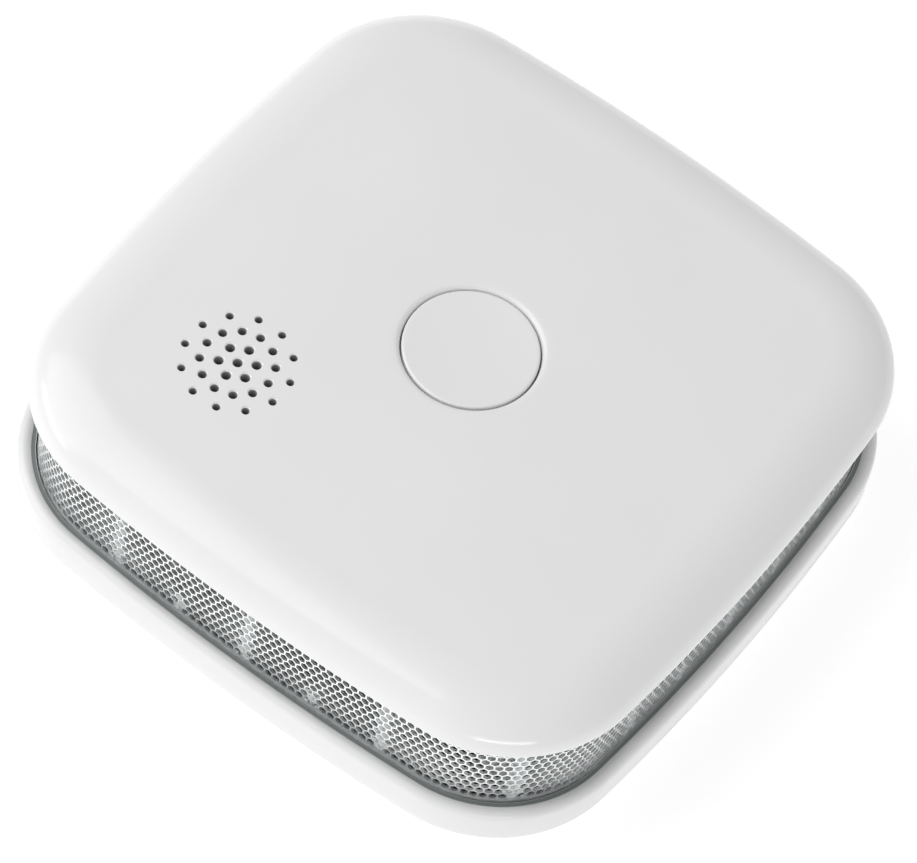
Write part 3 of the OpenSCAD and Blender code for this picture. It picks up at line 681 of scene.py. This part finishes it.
class DETECTOR_OT_cover(bpy.types.Operator):
    """Builds the gloss front cover with its opening, sounder holes and posts"""
    bl_idname = "detector.cover"
    bl_label = "Front Cover"

    def execute(self, context):
        s = sizes()
        gloss = finishes()["gloss_white_cover"]
        cover = new_piece("cover_shell", skin(cover_rings(), closed=True), gloss)
        drill = new_piece("drill", hole_tool(s.grille_hole))
        run_tree(cover, sounder_tree(), {
            "Drill": drill, "Offset": s.grille_offset, "Pitch": s.grille_pitch,
            "Lead": math.radians(1), "Finish": gloss, "Bore": finishes()["white_hole_wall"]})
        drop(drill)
        place(cover, HOUSING, "cover_white", "front_cover")
        inside = new_piece("cover_posts", cover_inside(), gloss)
        place(inside, HOUSING, "cover_white", "front_cover")
        return {"FINISHED"}


class DETECTOR_OT_button(bpy.types.Operator):
    """Builds the dished test button with its flange and stem"""
    bl_idname = "detector.button"
    bl_label = "Test Button"

    def execute(self, context):
        s = sizes()
        r, dish = s.button_radius, s.button_dish
        curve = (r * r + dish * dish) / (2 * dish)
        low = s.height - 0.25 * MM - dish
        soft = 0.38 * MM
        inner = r - soft
        profile = [(0, low)] + [(x, low + x * x / (2 * curve)) for x in np.linspace(0, inner, 14)[1:]]
        edge_z = low + inner * inner / (2 * curve)
        profile += arc(inner, edge_z - soft, soft, 84, 0, 6)
        profile += [(r, 32.9 * MM), (r + 0.1 * MM, 32.63 * MM)]
        flange_at, flange_soft, stem_r, stem_low = 12.4 * MM, 0.2 * MM, 2.2 * MM, 27.35 * MM
        profile += arc(flange_at, 32.43 * MM, flange_soft, 90, 0, 4)
        profile += arc(flange_at, 31.5 * MM, flange_soft, 0, -90, 4)
        profile += [(2.5 * MM, 31.3 * MM), (stem_r, 31.0 * MM), (stem_r, 27.55 * MM), (2.0 * MM, stem_low),
                    (0, stem_low)]
        button = new_piece("button_cap", lathe(profile, 160), finishes()["gloss_white_cover"])
        place(button, "button", "cover_white", "test_button")
        return {"FINISHED"}


def screen_cells(row, web, pitch, sheet, low_margin, high_margin):
    """One hexagonal hole with its share of metal, and the plain edges under and over a row."""
    high = row * 4 / 3
    share = (pitch - web) / pitch
    outer = [(0, high / 2), (-0.5, high / 4), (-0.5, -high / 4), (0, -high / 2), (0.5, -high / 4), (0.5, high / 4)]
    hole = [(x * share, z * share) for x, z in outer]
    verts = [(x, y, z) for y in (0, -sheet) for ring in (outer, hole) for x, z in ring]
    faces = []
    for i in range(6):
        j = (i + 1) % 6
        faces += [(i, j, 6 + j, 6 + i), (12 + j, 12 + i, 18 + i, 18 + j), (6 + i, 6 + j, 18 + j, 18 + i)]
    cell = (np.array(verts), faces)

    def edge(margin, side):
        line = [(-0.5, side * high / 4), (0, side * high / 2), (0.5, side * high / 4),
                (0.5, side * margin), (0, side * margin), (-0.5, side * margin)]
        points = [(x, y, z) for y in (0, -sheet) for x, z in line]
        quads = [(0, 1, 4, 5), (1, 2, 3, 4), (6, 11, 10, 7), (7, 10, 9, 8), (5, 4, 10, 11), (4, 3, 9, 10)]
        return np.array(points), quads

    return cell, edge(low_margin, -1), edge(high_margin, 1)


def screen_tree():
    """Rows of cells laid flat, then wrapped round the outline by its length and welded."""
    tree, source, output = geometry_tree("perforated_strip", [
        ("Cell", "Object", None), ("Low Edge", "Object", None), ("High Edge", "Object", None),
        ("Columns", "Int", 259), ("Rows", "Int", 12), ("Row Height", "Float", 0.00143),
        ("First Row", "Float", 0.0104), ("Finish", "Material", None)])
    out = source.outputs

    def row_of(geometry_socket, count, first_row):
        index = add(tree, "GeometryNodeInputIndex").outputs[0]
        row = calc(tree, "FLOOR", calc(tree, "DIVIDE", calc(tree, "ADD", index, 0.5), out["Columns"]))
        column = calc(tree, "SUBTRACT", index, calc(tree, "MULTIPLY", row, out["Columns"]))
        row = calc(tree, "ADD", row, first_row)
        half_step = calc(tree, "MULTIPLY", calc(tree, "MODULO", row, 2.0), 0.5)
        where = add(tree, "ShaderNodeCombineXYZ", {
            "X": calc(tree, "ADD", column, half_step),
            "Z": calc(tree, "ADD", calc(tree, "MULTIPLY", row, out["Row Height"]), out["First Row"])}).outputs[0]
        points = add(tree, "GeometryNodePoints", {"Count": count, "Position": where}).outputs[0]
        return instances(tree, points, object_geometry(tree, geometry_socket))

    flat = joined(tree,
                  row_of(out["Cell"], calc(tree, "MULTIPLY", out["Columns"], out["Rows"]), 0.0),
                  row_of(out["Low Edge"], out["Columns"], 0.0),
                  row_of(out["High Edge"], out["Columns"], calc(tree, "SUBTRACT", out["Rows"], 1.0)))
    flat = add(tree, "GeometryNodeRealizeInstances", {"Geometry": flat}).outputs[0]

    path = add(tree, "GeometryNodeMeshToCurve", {"Mesh": out["Geometry"]}).outputs[0]
    whole = add(tree, "GeometryNodeCurveLength", {"Curve": path}).outputs[0]
    spot = add(tree, "ShaderNodeSeparateXYZ", {"Vector": add(tree, "GeometryNodeInputPosition").outputs[0]})
    wrapped = calc(tree, "DIVIDE", calc(tree, "FLOORED_MODULO", spot.outputs["X"], out["Columns"]), out["Columns"])
    sample = add(tree, "GeometryNodeSampleCurve", mode="LENGTH")
    tree.links.new(path, sample.inputs["Curves"])
    tree.links.new(calc(tree, "MULTIPLY", wrapped, whole), sample.inputs["Length"])
    outwards = vector_calc(tree, "CROSS_PRODUCT", sample.outputs["Tangent"], (0, 0, 1))
    facing = calc(tree, "SIGN", vector_calc(tree, "DOT_PRODUCT", outwards, sample.outputs["Position"]))
    depth = calc(tree, "MULTIPLY", facing, spot.outputs["Y"])
    lift = add(tree, "ShaderNodeCombineXYZ", {"Z": spot.outputs["Z"]}).outputs[0]
    sunk = vector_calc(tree, "ADD", sample.outputs["Position"], scaled(tree, outwards, depth))
    where = vector_calc(tree, "ADD", sunk, lift)
    bent = add(tree, "GeometryNodeSetPosition", {"Geometry": flat, "Position": where}).outputs[0]
    welded = add(tree, "GeometryNodeMergeByDistance", {"Geometry": bent, "Distance": 0.02 * MM}).outputs[0]
    end_tree(tree, output, welded, out["Finish"])
    return tree


class DETECTOR_OT_screen(bpy.types.Operator):
    """Builds the perforated stainless strip that runs all round the detector"""
    bl_idname = "detector.screen"
    bl_label = "Gas Screen"

    def execute(self, context):
        s = sizes()
        steel = finishes()["stainless_screen"]
        low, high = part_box("gas_screen")
        path = outline(s.cover_width / 2, s.screen_inset)
        around = np.linalg.norm(path - np.roll(path, 1, axis=0), axis=1).sum()
        last_row = s.screen_first_row + (s.screen_rows - 1) * s.screen_row
        shapes = screen_cells(s.screen_row, s.screen_web, around / s.screen_columns, s.screen_sheet,
                              s.screen_first_row - low.z, high.z - last_row)
        tools = [new_piece("tool", shape) for shape in shapes]
        mesh = bpy.data.meshes.new("gas_screen_strip")
        n = len(path)
        mesh.from_pydata([(x, y, 0) for x, y in path], [(i, (i + 1) % n) for i in range(n)], [])
        strip = bpy.data.objects.new("gas_screen_strip", mesh)
        context.scene.collection.objects.link(strip)
        run_tree(strip, screen_tree(), {
            "Cell": tools[0], "Low Edge": tools[1], "High Edge": tools[2],
            "Columns": s.screen_columns, "Rows": s.screen_rows, "Row Height": s.screen_row,
            "First Row": s.screen_first_row, "Finish": steel})
        drop(*tools)
        place(strip, HOUSING, "screen_steel", "gas_screen")
        return {"FINISHED"}


def tray_rings():
    """Rings of the base from its foot up the side, over the round rim and down to the floor."""
    s = sizes()
    half = s.base_width / 2
    gap, run, rise = BACK_Z, 3.5 * MM, 3.2 * MM
    rim = s.base_wall / 2
    rings = []
    for a in np.linspace(90, 0, 12)[:-1]:
        c, n = math.cos(math.radians(a)), math.sin(math.radians(a))
        rings.append(level(outline(half, run * (1 - c)), gap + rise * (1 - n)))
    for a in np.linspace(0, 150, 15):
        c, n = math.cos(math.radians(a)), math.sin(math.radians(a))
        rings.append(level(outline(half, rim * (1 - c)), s.rim_height - rim + rim * n))
    ledge = 0.6 * MM
    rings.append(level(outline(half, s.base_wall), 9.0 * MM - ledge / 6))
    rings.append(level(outline(half, s.base_wall + 0.08 * MM), LEDGE_Z))
    rings.append(level(outline(half, s.base_wall + ledge - 0.1 * MM), LEDGE_Z))
    rings.append(level(outline(half, s.base_wall + ledge), 8.8 * MM))
    rings.append(level(outline(half, s.base_wall + ledge), 2.6 * MM))
    return rings


def disc(r, z0, z1, x=0.0, y=0.0, segments=96):
    return moved(lathe([(0, z0), (r, z0), (r, z1), (0, z1)], segments), x, y)


def corners(make, x, y):
    return [make(sx * x, sy * y) for sx in (-1, 1) for sy in (-1, 1)]


class DETECTOR_OT_base(bpy.types.Operator):
    """Builds the base tray with its recess for the mounting plate, battery bay and screw holes"""
    bl_idname = "detector.base"
    bl_label = "Base"

    def execute(self, context):
        s = sizes()
        m = MM
        base = new_piece("base_tray", skin(tray_rings(), caps=True), finishes()["gloss_white_base"])
        post_at = s.post_offset
        boards = [(43 * math.cos(a) - 6 * math.sin(a), 43 * math.sin(a) + 6 * math.cos(a)) for a in QUARTERS]
        solids = [disc(50.4 * m, 0.61 * m, 7 * m, segments=160)]
        solids += corners(lambda x, y: disc(BOSS_R, 0.62 * m, BOSS_TOP, x, y, 48), post_at, post_at)
        solids += [disc(3.2 * m, 6 * m, 9.4 * m, x * m, y * m, 32) for x, y in boards]
        combine(base, solids, "UNION")
        soft = 0.35 * m
        groove = lathe([
            (HUB_R + soft, -1 * m), (HUB_R + soft, BACK_Z), (HUB_R, BACK_Z + soft), (HUB_R, RECESS_Z),
            (RECESS_R, RECESS_Z), (RECESS_R, BACK_Z + soft),
            (RECESS_R + soft, BACK_Z), (RECESS_R + soft, -1 * m)], 180)
        seat = lathe([
            (0, -1 * m), (SEAT_R + soft, -1 * m), (SEAT_R + soft, BACK_Z), (SEAT_R, BACK_Z + soft),
            (SEAT_R, SEAT_Z), (BOSS_HOLE_R, SEAT_Z), (BOSS_HOLE_R, 9 * m), (0, 9 * m)], 48)
        holes = [groove, block((-BAY_X, -BAY_Y, -1 * m), (BAY_X, BAY_Y, 10 * m)),
                 disc(NOTCH_R, -1 * m, NOTCH_Z, 0, BAY_Y + NOTCH_OUT, 64)]
        holes += corners(lambda x, y: moved(seat, x, y), post_at, post_at)
        combine(base, holes, "DIFFERENCE")
        stops = corners(lambda x, y: block((x - 2 * m, y - 2 * m, 2.7 * m), (x + 2 * m, y + 2 * m, 4.7 * m)),
                        BAY_X - m, BAY_Y - m)
        for k in range(LOCK_COUNT):
            mid = LOCK_START + 90 * k
            stops.append(sector(HOOK_IN_R, HOOK_OUT_R, HOOK_LOW, HOOK_HIGH, mid, LIP_ANGLE))
            stops.append(sector(HOOK_IN_R, HOOK_OUT_R, HOOK_LOW, LIP_HIGH, mid + 9.5, 1.6, 2))
        combine(base, stops, "UNION")
        # Upward faces of the ledge get the dark grey: painted shade in the channel between the screen and the rim
        base.data.materials.append(finishes()["shaded_grey_ledge"])
        for face in base.data.polygons:
            if face.normal.z > 0.9 and abs(face.center.z - LEDGE_Z) < 0.04 * m:
                face.material_index = 1
        place(base, HOUSING, "base_white", "base")
        return {"FINISHED"}


class DETECTOR_OT_plate(bpy.types.Operator):
    """Builds the twist-lock mounting plate with its lips and wall screw holes"""
    bl_idname = "detector.plate"
    bl_label = "Mounting Plate"

    def execute(self, context):
        m = MM
        soft = 0.25 * m
        profile = [
            (PLATE_IN_R, soft), (PLATE_IN_R + soft, 0), (PLATE_R - soft, 0), (PLATE_R, soft),
            (PLATE_R, PLATE_T - soft), (PLATE_R - soft, PLATE_T), (RING_R + soft, PLATE_T), (RING_R, PLATE_T + soft),
            (RING_R, LIP_HIGH - soft), (RING_R - soft, LIP_HIGH),
            (RING_IN_R + soft, LIP_HIGH), (RING_IN_R, LIP_HIGH - soft),
            (RING_IN_R, PLATE_T + soft), (RING_IN_R - soft, PLATE_T),
            (COLLAR_R + soft, PLATE_T), (COLLAR_R, PLATE_T + soft),
            (COLLAR_R, COLLAR_TOP - soft), (COLLAR_R - soft, COLLAR_TOP),
            (PLATE_IN_R + soft, COLLAR_TOP), (PLATE_IN_R, COLLAR_TOP - soft)]
        plate = new_piece("mount_ring", lathe(profile, 180), finishes()["matt_white_plate"])
        lips = [sector(44.4 * m, 46.9 * m, LIP_LOW, LIP_HIGH, LOCK_START + 90 * k, LIP_ANGLE)
                for k in range(LOCK_COUNT)]
        combine(plate, lips, "UNION")
        drill = lathe([(0, -1 * m), (WALL_HOLE_R + soft, -1 * m), (WALL_HOLE_R + soft, 0), (WALL_HOLE_R, soft),
                       (WALL_HOLE_R, 3 * m), (0, 3 * m)], 48)
        combine(plate, [moved(drill, WALL_HOLES_AT * math.cos(a), WALL_HOLES_AT * math.sin(a)) for a in QUARTERS],
                "DIFFERENCE")
        place(plate, "plate", "plate_white", "mounting_plate")
        return {"FINISHED"}


def screw_shape():
    """Pan-head screw that stands on its head, from the head's face up."""
    m = MM
    profile = [(0, 2.02 * m), (1.9 * m, 2.02 * m)] + arc(2.3 * m, 2.55 * m, 0.5 * m, -90, 0, 6)
    profile += [(2.8 * m, 3.9 * m), (2.7 * m, 3.98 * m), (1.3 * m, 3.98 * m)]
    z, deep = 4.6 * m, 0.18 * m
    while z < 16.2 * m:
        profile += [(1.3 * m, z), (1.3 * m - deep, z + 0.3 * m)]
        z += 0.8 * m
    profile += [(0.9 * m, 17 * m), (0, 17 * m)]
    return lathe(profile, 32)


def screw_tree():
    """One screw at each corner of a square."""
    tree, source, output = geometry_tree("corner_screws", [
        ("Screw", "Object", None), ("Spacing", "Float", 0.08), ("Finish", "Material", None)])
    grid = add(tree, "GeometryNodeMeshGrid", {
        "Size X": source.outputs["Spacing"], "Size Y": source.outputs["Spacing"],
        "Vertices X": 2, "Vertices Y": 2}).outputs[0]
    screws = instances(tree, grid, object_geometry(tree, source.outputs["Screw"]))
    end_tree(tree, output, screws, source.outputs["Finish"])
    return tree


class DETECTOR_OT_screws(bpy.types.Operator):
    """Builds the four long screws that hold the cover to the base"""
    bl_idname = "detector.screws"
    bl_label = "Cover Screws"

    def execute(self, context):
        m = MM
        steel = finishes()["zinc_screw_steel"]
        screw = new_piece("screw", screw_shape(), steel)
        reach, wide, top = 1.8 * m, 0.36 * m, 2.9 * m
        arm = [block((-reach, -wide, m), (reach, wide, top)), block((-wide, -reach, m), (wide, reach, top))]
        combine(screw, arm, "DIFFERENCE")
        holder = new_piece("corner_screws", block((0, 0, 0), (m, m, m)), steel)
        run_tree(holder, screw_tree(), {"Screw": screw, "Spacing": 2 * sizes().post_offset, "Finish": steel})
        drop(screw)
        place(holder, HOUSING, "screw_steel", "cover_screws")
        return {"FINISHED"}


class DETECTOR_OT_spring(bpy.types.Operator):
    """Builds the button's return spring from its CAD coil, carried with the button"""
    bl_idname = "detector.spring"
    bl_label = "Return Spring"

    def execute(self, context):
        coil = bpy.data.objects.new("return_spring", tidy_mesh(frame["nodes"]["button_spring"].data.copy()))
        context.scene.collection.objects.link(coil)
        coil.data.materials.clear()
        coil.data.materials.append(finishes()["nickel_spring_steel"])
        place(coil, "button", "spring_steel", "button_spring")
        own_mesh(coil)
        return {"FINISHED"}


class DETECTOR_OT_inner(bpy.types.Operator):
    """Gives every CAD piece that stays its own finish"""
    bl_idname = "detector.inner"
    bl_label = "Inner Pieces"

    def execute(self, context):
        made = finishes()
        for row in frame["record"]["subparts"]:
            node = frame["nodes"].get(row["node"])
            if node is None or node.hide_render:
                continue
            node.data.materials.clear()
            node.data.materials.append(made[SLOT_FINISH[row["material_slot"]]])
        return {"FINISHED"}


# ---------------------------------------------------------------- stage

def lamp(name, power, size, size_y, where, aim, spread_angle=180):
    data = bpy.data.lights.new(name, "AREA")
    data.shape, data.size, data.size_y = "RECTANGLE", size, size_y
    data.energy = power
    data.spread = math.radians(spread_angle)
    light = bpy.data.objects.new(name, data)
    bpy.context.scene.collection.objects.link(light)
    light.location = where
    light.rotation_euler = (Vector(aim) - Vector(where)).to_track_quat("-Z", "Y").to_euler()
    return light


def towards(turn, rise):
    """Direction given by a turn from +X and a rise above the floor, in degrees."""
    turn, rise = math.radians(turn), math.radians(rise)
    return Vector((math.cos(turn) * math.cos(rise), math.sin(turn) * math.cos(rise), math.sin(rise)))


def pale_floor(s):
    """White studio table, matt, with a faint glow that keeps its shadows light."""
    m = plastic("pale_floor", s.floor, 0.9, grain=60, depth=0.0, vary=0.004, specular=0.1)
    shader = m.node_tree.nodes["Principled BSDF"]
    shader.inputs["Emission Color"].default_value = (1, 1, 1, 1)
    shader.inputs["Emission Strength"].default_value = s.floor_glow
    return m


class DETECTOR_OT_stage(bpy.types.Operator):
    """Builds the floor, the soft lights and the camera"""
    bl_idname = "detector.stage"
    bl_label = "Stage"

    def execute(self, context):
        scene = context.scene
        s = scene.detector_studio
        reach = 4.0
        square = np.array([(-reach, -reach, 0), (reach, -reach, 0), (reach, reach, 0), (-reach, reach, 0)])
        floor = new_piece("floor", (square, [(0, 1, 2, 3)]), pale_floor(s))
        world = bpy.data.worlds.new("soft_sky")
        scene.world = world
        world.use_nodes = True
        world.node_tree.nodes["Background"].inputs["Color"].default_value = (1, 1, 1, 1)
        world.node_tree.nodes["Background"].inputs["Strength"].default_value = s.sky
        middle = Vector((0, 0, 0.03))
        for name, power, wide, high, away, turn, rise in (
                ("key_left", s.key, 1.5, 1.5, 1.6, 112, 50), ("strip_left", s.strips, 0.8, 0.13, 1.3, 120, 20),
                ("strip_front", s.strips, 0.75, 0.14, 1.3, -140, 16)):
            lamp(name, power, wide, high, middle + away * towards(turn, rise), middle)
        scene.view_settings.view_transform = "Standard"
        a, e = s.azimuth, s.elevation
        back = Vector((math.sin(a) * math.cos(e), -math.cos(a) * math.cos(e), math.sin(e)))
        data = bpy.data.cameras.new("camera")
        camera = bpy.data.objects.new("camera", data)
        scene.collection.objects.link(camera)
        camera.location = Vector(s.aim) + back * s.distance
        level_view = (-back).to_track_quat("-Z", "Y").to_matrix()
        camera.rotation_euler = (level_view @ Matrix.Rotation(s.roll, 3, "Z")).to_euler()
        data.sensor_width, data.lens = 36, s.lens
        data.shift_x, data.shift_y = s.shift_x, s.shift_y
        data.clip_start, data.clip_end = 0.05, 20
        scene.camera = camera
        return {"FINISHED"}


class DETECTOR_PT_panel(bpy.types.Panel):
    """Lists the detector's pieces and sizes"""
    bl_idname = "DETECTOR_PT_panel"
    bl_label = "Carbon Monoxide Detector"
    bl_space_type = "VIEW_3D"
    bl_region_type = "UI"
    bl_category = "Detector"

    def draw(self, context):
        for step in OPERATORS:
            self.layout.operator(step.bl_idname)
        for group in (context.scene.detector_sizes, context.scene.detector_finish, context.scene.detector_studio):
            box = self.layout.box()
            for key in group.bl_rna.properties.keys():
                if key not in ("rna_type", "name"):
                    box.prop(group, key)


OPERATORS = (DETECTOR_OT_stage, DETECTOR_OT_cover, DETECTOR_OT_button, DETECTOR_OT_screen, DETECTOR_OT_base,
             DETECTOR_OT_plate, DETECTOR_OT_screws, DETECTOR_OT_spring,
             DETECTOR_OT_inner)
GROUPS = (("detector_sizes", DetectorSizes), ("detector_finish", DetectorFinish), ("detector_studio", DetectorStudio))


def register():
    for key, group in GROUPS:
        bpy.utils.register_class(group)
        setattr(bpy.types.Scene, key, bpy.props.PointerProperty(type=group))
    for step in OPERATORS + (DETECTOR_PT_panel,):
        bpy.utils.register_class(step)


def unregister():
    for step in (DETECTOR_PT_panel,) + OPERATORS[::-1]:
        bpy.utils.unregister_class(step)
    for key, group in GROUPS[::-1]:
        delattr(bpy.types.Scene, key)
        bpy.utils.unregister_class(group)


def main():
    register()
    for step in OPERATORS:
        group, name = step.bl_idname.split(".")
        getattr(getattr(bpy.ops, group), name)()


if __name__ == "__main__":
    main()
